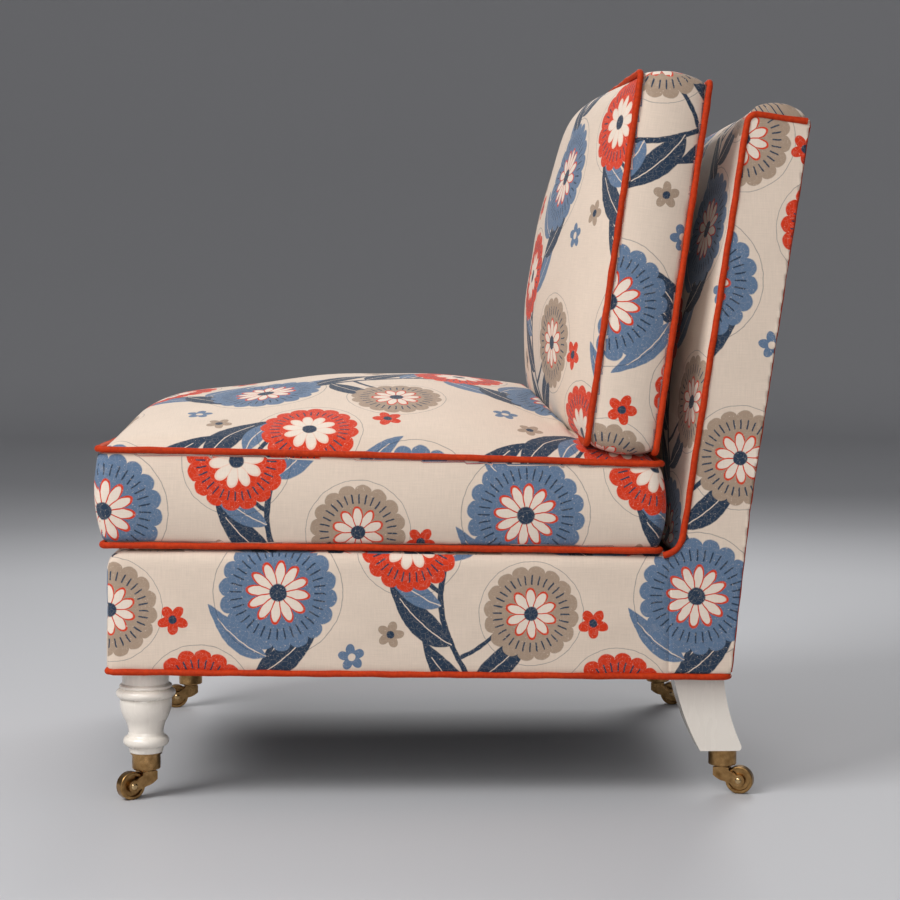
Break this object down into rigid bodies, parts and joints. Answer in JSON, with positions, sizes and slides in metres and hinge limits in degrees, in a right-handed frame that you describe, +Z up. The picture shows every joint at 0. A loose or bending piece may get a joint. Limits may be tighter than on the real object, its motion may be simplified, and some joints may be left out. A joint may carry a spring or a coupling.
{
  "type": "slipper chair",
  "caption": "Armless upholstered slipper chair with loose seat and back cushions, contrast welts, turned front legs, sabre rear legs and brass casters.",
  "frame": {"origin": "on the floor under the middle of the chair's bounding box", "axes": "+Z up, the sitter faces -Y, +X is the sitter's left"},
  "size_m": [0.662, 0.8272, 0.8546],
  "materials": {
    "printed_linen": "matte",
    "welt": "matte",
    "filling": "matte",
    "webbing": "matte",
    "dust_cloth": "matte",
    "zip": "matte",
    "frame_wood": "raw",
    "lacquered_wood": "gloss",
    "brass": "satin",
    "steel": "satin"
  },
  "bodies": {
    "chair_frame": {"front_rail": "frame_wood", "rear_rail": "frame_wood", "side_rail_left": "frame_wood", "side_rail_right": "frame_wood", "corner_blocks": "frame_wood", "back_upright_left": "frame_wood", "back_upright_right": "frame_wood", "back_top_rail": "frame_wood", "back_lower_rail": "frame_wood", "seat_webbing": "webbing", "back_webbing": "webbing", "front_leg_left": "lacquered_wood", "front_leg_right": "lacquered_wood", "rear_leg_left": "lacquered_wood", "rear_leg_right": "lacquered_wood", "leg_bolts": "steel", "base_front_cover": "printed_linen", "base_side_cover_left": "printed_linen", "base_side_cover_right": "printed_linen", "seat_deck_cover": "printed_linen", "seat_padding": "filling", "base_welt": "welt", "dust_cover": "dust_cloth", "back_padding": "filling", "inside_back_cover": "printed_linen", "outside_back_cover": "printed_linen", "back_facing_left": "printed_linen", "back_facing_right": "printed_linen", "facing_welt_left": "welt", "facing_welt_right": "welt", "outside_back_welt": "welt", "front_left_caster_cup": "brass", "front_right_caster_cup": "brass", "rear_left_caster_cup": "brass", "rear_right_caster_cup": "brass"},
    "seat_cushion": {"seat_cushion_cover": "printed_linen", "seat_cushion_core": "filling", "seat_cushion_top_welt": "welt", "seat_cushion_bottom_welt": "welt", "seat_cushion_zip": "zip"},
    "back_cushion": {"back_cushion_cover": "printed_linen", "back_cushion_core": "filling", "back_cushion_front_welt": "welt", "back_cushion_rear_welt": "welt", "back_cushion_zip": "zip"},
    "front_left_swivel": {"front_left_caster_horn": "brass", "front_left_caster_axle": "brass"},
    "front_left_wheel": {"front_left_caster_wheel": "brass"},
    "front_right_swivel": {"front_right_caster_horn": "brass", "front_right_caster_axle": "brass"},
    "front_right_wheel": {"front_right_caster_wheel": "brass"},
    "rear_left_swivel": {"rear_left_caster_horn": "brass", "rear_left_caster_axle": "brass"},
    "rear_left_wheel": {"rear_left_caster_wheel": "brass"},
    "rear_right_swivel": {"rear_right_caster_horn": "brass", "rear_right_caster_axle": "brass"},
    "rear_right_wheel": {"rear_right_caster_wheel": "brass"}
  },
  "joints": [
    {"name": "seat_cushion_slide", "type": "slide", "parent": "chair_frame", "child": "seat_cushion", "axis": [0, -0.9999, 0.014], "range_m": [0, 0.66]},
    {"name": "back_cushion_lift", "type": "slide", "parent": "chair_frame", "child": "back_cushion", "axis": [0, 0.1409, 0.99], "range_m": [0, 0.45]},
    {"name": "front_left_swivel_turn", "type": "hinge", "parent": "chair_frame", "child": "front_left_swivel", "pos_m": [0.288, -0.3605, 0.034], "axis": [0, 0, 1], "continuous": true},
    {"name": "front_left_wheel_spin", "type": "hinge", "parent": "front_left_swivel", "child": "front_left_wheel", "pos_m": [0.30005, -0.3777, 0.0165], "axis": [0.8192, 0.5736, 0], "continuous": true},
    {"name": "front_right_swivel_turn", "type": "hinge", "parent": "chair_frame", "child": "front_right_swivel", "pos_m": [-0.288, -0.3605, 0.034], "axis": [0, 0, 1], "continuous": true},
    {"name": "front_right_wheel_spin", "type": "hinge", "parent": "front_right_swivel", "child": "front_right_wheel", "pos_m": [-0.28363, -0.38104, 0.0165], "axis": [0.9781, 0.2079, 0], "continuous": true},
    {"name": "rear_left_swivel_turn", "type": "hinge", "parent": "chair_frame", "child": "rear_left_swivel", "pos_m": [0.286, 0.326, 0.034], "axis": [0, 0, 1], "continuous": true},
    {"name": "rear_left_wheel_spin", "type": "hinge", "parent": "rear_left_swivel", "child": "rear_left_wheel", "pos_m": [0.29318, 0.34573, 0.0165], "axis": [-0.9397, 0.342, 0], "continuous": true},
    {"name": "rear_right_swivel_turn", "type": "hinge", "parent": "chair_frame", "child": "rear_right_swivel", "pos_m": [-0.286, 0.326, 0.034], "axis": [0, 0, 1], "continuous": true},
    {"name": "rear_right_wheel_spin", "type": "hinge", "parent": "rear_right_swivel", "child": "rear_right_wheel", "pos_m": [-0.28235, 0.34668, 0.0165], "axis": [-0.9848, 0.1736, 0], "continuous": true}
  ]
}
